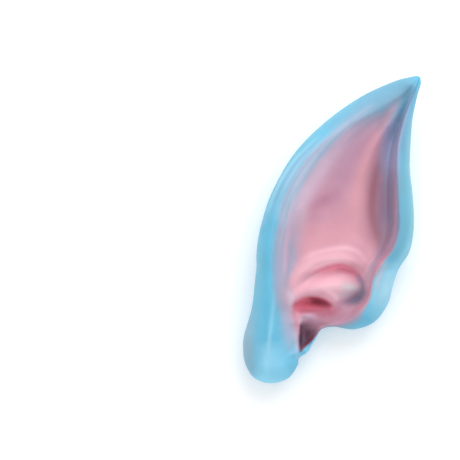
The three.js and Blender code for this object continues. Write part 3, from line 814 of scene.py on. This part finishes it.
     [(0.306, 0.243), (0.362, 0.237), (0.43, 0.237), (0.503, 0.243)]),
    ("saddle", "mauve", 0.8, (0.034, 0.028),
     [(0.323, 0.204), (0.385, 0.204), (0.441, 0.197)]),
    # Painted highlights: pale lilac on the saddle between the canal and the notch, with a whiter spot.
    ("saddle highlight", "cool lilac", 0.4, 0.019,
     [(0.323, 0.201), (0.348, 0.215), (0.379, 0.22), (0.424, 0.215)]),
    ("highlight spot on the saddle", "pale lilac", 0.6, 0.01,
     [(0.315, 0.194), (0.329, 0.204), (0.346, 0.209), (0.368, 0.21)]),
    # Painted shade: dark plum over the notch's pink, with slate in its depth.
    ("notch", "plum", 0.95, None,
     [(0.322, 0.188, 0.007), (0.34, 0.189, 0.017), (0.368, 0.186, 0.028), (0.396, 0.181, 0.028),
      (0.433, 0.176, 0.02), (0.416, 0.158, 0.006), (0.385, 0.135, 0.004), (0.351, 0.119, 0.004),
      (0.322, 0.107, 0.004)]),
    # Painted shadow under the strip's edge.
    ("notch, shadow under the strip", "dark plum", 0.8, (0.008, 0.017),
     [(0.329, 0.162), (0.331, 0.142), (0.33, 0.122), (0.326, 0.1)]),
    ("slate shade in the notch", "slate", 0.6, 0.011,
     [(0.346, 0.158), (0.348, 0.142), (0.343, 0.126)]),
    ("notch, soft top", "grey lilac", 0.35, 0.017,
     [(0.334, 0.184), (0.368, 0.179), (0.407, 0.178)]),
    ("notch, red edge", "wine", 0.8, 0.009,
     [(0.424, 0.168), (0.39, 0.147), (0.357, 0.129), (0.329, 0.113)]),
    ("sliver", "pale blue", 0.85, 0.012,
     [(0.43, 0.158), (0.39, 0.126), (0.346, 0.103)]),
    ("edge under the lip", "flare blue", 0.6, 0.009,
     [(0.447, 0.181), (0.503, 0.183), (0.576, 0.179), (0.649, 0.181)]),
    ("first brush line", "dusty mauve", 0.45, 0.009,
     [(0.593, 0.856), (0.52, 0.821), (0.43, 0.768), (0.351, 0.716), (0.284, 0.657), (0.239, 0.599),
      (0.213, 0.533), (0.201, 0.468), (0.196, 0.396), (0.196, 0.312)]),
    ("second brush line", "line mist", 0.5, 0.007,
     [(0.492, 0.824), (0.374, 0.765), (0.278, 0.7), (0.216, 0.638), (0.185, 0.599), (0.152, 0.533),
      (0.138, 0.481)]),
    ("third brush line", "line pink", 0.6, 0.01,
     [(0.278, 0.56), (0.256, 0.501), (0.24, 0.442), (0.236, 0.39), (0.236, 0.331)]),
    ("blue between the lines", "line blue", 0.6, 0.01,
     [(0.334, 0.664), (0.267, 0.599), (0.239, 0.533), (0.222, 0.468), (0.213, 0.396), (0.213, 0.312)]),
    ("line by the folds", "line grey", 0.5, 0.012,
     [(0.289, 0.494), (0.272, 0.449), (0.261, 0.396), (0.253, 0.351), (0.242, 0.305)]),
    ("beside the strip", "dusty lilac", 0.8, (0.028, 0.022),
     [(0.188, 0.52), (0.185, 0.442), (0.185, 0.364), (0.191, 0.292), (0.222, 0.227)]),
    ("dusk by the folds", "dusty lilac", 0.5, 0.017,
     [(0.256, 0.475), (0.278, 0.442), (0.284, 0.409), (0.272, 0.38), (0.239, 0.347), (0.233, 0.305)]),
    ("left of the notch", "light lilac", 0.75, (0.045, 0.039),
     [(0.239, 0.259), (0.244, 0.207), (0.261, 0.148), (0.295, 0.096)]),
    ("edge by the notch", "cool lilac", 0.35, 0.013,
     [(0.295, 0.175), (0.303, 0.142), (0.306, 0.109), (0.301, 0.077)]),
]
STROKE_FADE = 0.6
PATCH_STEP = 0.2  # shares of the way between a patch's points
PAINT_WRAP = 0.2  # lean of a face beyond upright, over which the paint runs out

# Faint marks of the brush, side by side along the left rim: pitch in metres, sideways wander in
# pitches, wanders along the rim and start. They lie between two distances from the rim.
BRUSH_MARKS = [(0.0021, 0.5, 1.3, 0.1), (0.0013, 0.6, 2.1, 0.55), (0.0037, 0.4, 0.9, 0.3)]
BRUSHED_PATH = [
    (0.84, 0.99), (0.65, 0.937), (0.463, 0.857), (0.289, 0.752), (0.166, 0.627), (0.1, 0.5),
    (0.075, 0.36),
]
BRUSHED_FROM = 0.001
BRUSHED_TO = 0.013
BRUSHED_EDGE = 0.004
BRUSHED_FADE = 0.5
BRUSH_STRENGTH = 0.22


def patch_mask(x, y, points):
    """1 inside a patch and 0 outside it, with an edge as soft as the nearest of its points says."""
    rows = np.array(points)
    rings = np.concatenate([rows[-1:], rows, rows])
    at = np.arange(0, len(rows), PATCH_STEP)
    span = np.floor(at).astype(int)
    loop = curve_between(*(rings[span + k] for k in range(4)), (at - span)[:, None])
    loop = np.concatenate([loop, loop[:1]]) * [ear_width, ear_length, ear_width]
    distance, _, along = nearest_on_line(loop[:, :2], x, y)
    softness = np.interp(along * (len(loop) - 1), np.arange(len(loop)), loop[:, 2])
    inside = np.zeros(x.shape, bool)
    for (x0, y0, _), (x1, y1, _) in zip(loop, loop[1:]):
        if y0 != y1:
            inside ^= ((y0 > y) != (y1 > y)) & (x - x0 < (y - y0) * (x1 - x0) / (y1 - y0))
    return smooth((np.where(inside, distance, -distance) / softness + 1) / 2)


def brush_marks(x, y):
    """Waves beside the left rim, from -1 to 1 times their strength."""
    distance, _, along = nearest_on_line(path_points(BRUSHED_PATH, FOLD_STEPS), x, y)
    waves = sum(
        np.sin(2 * np.pi * (distance / pitch + start + wander * np.sin(2 * np.pi * turns * along)))
        for pitch, wander, turns, start in BRUSH_MARKS
    )
    band = smooth((distance - BRUSHED_FROM) / BRUSHED_EDGE)
    band *= smooth((BRUSHED_TO - distance) / BRUSHED_EDGE)
    band *= np.sin(np.pi * np.clip(along, 0, 1)) ** BRUSHED_FADE
    return BRUSH_STRENGTH * band * waves / len(BRUSH_MARKS)


def to_light(shown):
    """Shown brightness, 0 to 1, to the amount of light, by the common screen curve."""
    return np.where(shown <= 0.04045, shown / 12.92, ((shown + 0.055) / 1.055) ** 2.4)


def paint(target):
    """Writes the airbrushed colours, with the painted highlights and painted shade among them, into a
    colour attribute of the mesh.
    """
    mesh = target.data
    count = len(mesh.vertices)
    places = np.empty(count * 3)
    normals = np.empty(count * 3)
    mesh.vertices.foreach_get("co", places)
    mesh.vertices.foreach_get("normal", normals)
    x, y, _ = places.reshape(-1, 3).T
    x, y = x - origin_x, y - origin_y
    facing = smooth((normals.reshape(-1, 3)[:, 2] + PAINT_WRAP) / PAINT_WRAP)
    colour = np.tile(np.array(PALETTE["sky blue"], float), (count, 1))

    def spray(name, mask):
        amount = (mask * facing)[:, None]
        colour[:] = mix(colour, np.array(PALETTE[name], float), amount)

    for _, name, strength, reach, points in PAINT:
        if reach is None:
            spray(name, strength * patch_mask(x, y, points))
        else:
            left, right = np.broadcast_to(reach, 2)
            spray(name, strength * stroke_mask(x, y, points, left, right, STROKE_FADE))
    marks = brush_marks(x, y)
    spray("pale lilac", np.maximum(marks, 0))
    spray("sky blue", np.maximum(-marks, 0))
    attribute = mesh.color_attributes.new("paint", "FLOAT_COLOR", "POINT")
    shades = np.ones((count, 4))
    shades[:, :3] = to_light(colour / 255)
    attribute.data.foreach_set("color", shades.ravel())


class Nodes:
    """Short calls for a material's nodes."""

    def __init__(self, name):
        self.material = bpy.data.materials.new(name)
        self.material.use_nodes = True
        self.tree = self.material.node_tree
        self.shader = self.tree.nodes["Principled BSDF"]

    def add(self, kind, settings=None, **inputs):
        node = self.tree.nodes.new(kind)
        for name, value in (settings or {}).items():
            setattr(node, name, value)
        self.fill(node, **inputs)
        return node

    def fill(self, node, **inputs):
        """Links or sets a node's inputs, which are named with _ for a space."""
        for name, value in inputs.items():
            self.set(node.inputs[name.replace("_", " ")], value)

    def set(self, socket, value):
        if isinstance(value, bpy.types.NodeSocket):
            self.tree.links.new(value, socket)
        else:
            socket.default_value = value

    def noise(self, scale, detail=3.0, roughness=0.5):
        """Noise over the object's own metres, with scale in waves a metre."""
        place = self.add("ShaderNodeTexCoord")
        return self.add(
            "ShaderNodeTexNoise",
            Vector=place.outputs["Object"],
            Scale=scale,
            Detail=detail,
            Roughness=roughness,
        ).outputs["Fac"]

    def spread(self, waves, low, high, start, end, detail=3.0):
        """Noise whose values from low to high become values from start to end."""
        return self.add(
            "ShaderNodeMapRange",
            Value=self.noise(waves, detail),
            From_Min=low,
            From_Max=high,
            To_Min=start,
            To_Max=end,
        ).outputs["Result"]

    def relief(self, waves, detail, roughness, depth, strength, **below):
        """A bump of noise, on the relief below it if there is one."""
        height = self.noise(waves, detail, roughness)
        bump = self.add("ShaderNodeBump", Strength=strength, Distance=depth, Height=height, **below)
        return bump.outputs["Normal"]


# Finish of the latex, with noise in waves a metre: shades and roughness first, then reliefs
CLOUDS = {"waves": 90, "low": 0.3, "high": 0.7, "start": 0.95, "end": 1.04}
SPECKLE = {"waves": 2600, "low": 0.35, "high": 0.65, "start": 0.985, "end": 1.015, "detail": 2}
SATIN = {"waves": 400, "low": 0.3, "high": 0.7, "start": 0.46, "end": 0.6}
SATIN_GLOSS = 0.3
BARE_BLEND = {"waves": 120, "low": 0.35, "high": 0.65, "start": 0, "end": 1}
BARE_BLUES = [(150, 200, 218), (172, 208, 214)]
BARE_MATT = {"waves": 500, "low": 0.3, "high": 0.7, "start": 0.6, "end": 0.75}
SKIN = {"waves": 1500, "detail": 4, "roughness": 0.6, "depth": 0.0001, "strength": 0.25}
SWELL = {"waves": 160, "detail": 3, "roughness": 0.5, "depth": 0.0006, "strength": 0.35}
BUBBLES = {"waves": 700, "detail": 5, "roughness": 0.6, "depth": 0.0004, "strength": 0.5}


def painted_latex():
    """Satin latex under an airbrushed coat that carries painted highlights and shade: faint speckle,
    cloudy depth and fine skin texture.
    """
    nodes = Nodes("painted_latex")
    coat = nodes.add("ShaderNodeAttribute", {"attribute_name": "paint"}).outputs["Color"]
    value = nodes.add("ShaderNodeMath", {"operation": "MULTIPLY"})
    nodes.set(value.inputs[0], nodes.spread(**CLOUDS))
    nodes.set(value.inputs[1], nodes.spread(**SPECKLE))
    shade = nodes.add("ShaderNodeHueSaturation", Value=value.outputs[0], Color=coat)
    nodes.fill(
        nodes.shader,
        Base_Color=shade.outputs["Color"],
        Roughness=nodes.spread(**SATIN),
        Specular_IOR_Level=SATIN_GLOSS,
        Normal=nodes.relief(**SWELL, Normal=nodes.relief(**SKIN)),
    )
    return nodes.material


def bare_latex():
    """The unpainted inside of the casting: matt, in two close blues, and pitted by small bubbles."""
    nodes = Nodes("bare_latex")
    blend = nodes.add("ShaderNodeMix", {"data_type": "RGBA"}, Factor=nodes.spread(**BARE_BLEND))
    for name, blue in zip("AB", BARE_BLUES):
        blend.inputs[name].default_value = (*to_light(np.array(blue) / 255), 1)
    nodes.fill(
        nodes.shader,
        Base_Color=blend.outputs["Result"],
        Roughness=nodes.spread(**BARE_MATT),
        Normal=nodes.relief(**BUBBLES),
    )
    return nodes.material


FLOOR_SIDE = 3.0
FLOOR_WHITE = 0.93
FLOOR_ROUGHNESS = 0.8
FLOOR_GLOW = 0.16  # light of the floor itself, which keeps the ear's shadow on it faint


def plain_floor():
    """A plain pale surface under the ear."""
    bpy.ops.mesh.primitive_plane_add(size=FLOOR_SIDE, location=(0, 0, solid_low[2]))
    floor = bpy.context.object
    floor.name = "floor"
    nodes = Nodes("pale_floor")
    nodes.fill(
        nodes.shader,
        Base_Color=(FLOOR_WHITE, FLOOR_WHITE, FLOOR_WHITE, 1),
        Roughness=FLOOR_ROUGHNESS,
        Emission_Color=(1, 1, 1, 1),
        Emission_Strength=FLOOR_GLOW,
    )
    floor.data.materials.append(nodes.material)


WORLD_LIGHT = 0.86
KEY_PLACE = (0.12, 0.42, 0.38)
KEY_SIZE = 0.5
KEY_WATTS = 1.7


def soft_light(name, place, size, power):
    """A square soft light that points at the ear, with its power in watts."""
    data = bpy.data.lights.new(name, "AREA")
    data.size = size
    data.energy = power
    light = bpy.data.objects.new(name, data)
    light.location = place
    light.rotation_euler = (-Vector(place)).to_track_quat("-Z", "Y").to_euler()
    bpy.context.scene.collection.objects.link(light)


def studio():
    """Even light from all round, and a soft light from beyond the tip."""
    scene = bpy.context.scene
    world = bpy.data.worlds.new("studio")
    world.use_nodes = True
    background = world.node_tree.nodes["Background"]
    background.inputs["Color"].default_value = (1, 1, 1, 1)
    background.inputs["Strength"].default_value = WORLD_LIGHT
    scene.world = world
    soft_light("key_light", KEY_PLACE, KEY_SIZE, KEY_WATTS)
    scene.view_settings.view_transform = "Standard"


# The ear in the photo: the corner of its outline's box and the box's size, in the photo's pixels
PHOTO_SIDE_PX = 460
EAR_LEFT_PX = 242.5
EAR_BOTTOM_PX = 383.5
EAR_WIDTH_PX = 178
EAR_HEIGHT_PX = 306.5
OUTLINE_HEIGHT = 0.4  # height of the outline above the floor, as a share of the ear's
LENS = 0.35
SENSOR = 0.036
NEAREST_SEEN = 0.01
MILLIMETRES = 1000  # in a metre, for the lens and the sensor


def camera():
    """Straight above the middle of the photo, with the ear at the photo's place in the picture."""
    view_side = PHOTO_SIDE_PX * ear_width / EAR_WIDTH_PX
    middle = PHOTO_SIDE_PX / 2
    x = origin_x + (middle - EAR_LEFT_PX) / EAR_WIDTH_PX * ear_width
    y = origin_y + (EAR_BOTTOM_PX - middle) / EAR_HEIGHT_PX * ear_length
    data = bpy.data.cameras.new("camera")
    data.lens = LENS * MILLIMETRES
    data.sensor_width = SENSOR * MILLIMETRES
    data.clip_start = NEAREST_SEEN
    made = bpy.data.objects.new("camera", data)
    made.location = (x, y, OUTLINE_HEIGHT * ear_size[2] + view_side * LENS / SENSOR)
    bpy.context.scene.collection.objects.link(made)
    bpy.context.scene.camera = made


painted = painted_latex()
bare = bare_latex()
ear = outer_form(painted)
turn_faces_out(ear)
pocket = pocket_form(bare)
turn_faces_out(pocket)
cut(ear, pocket)
cut(ear, opening_cutter(bare))
paint(ear)

plain_floor()
studio()
camera()

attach(ear, "root")
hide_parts("ear_shell")
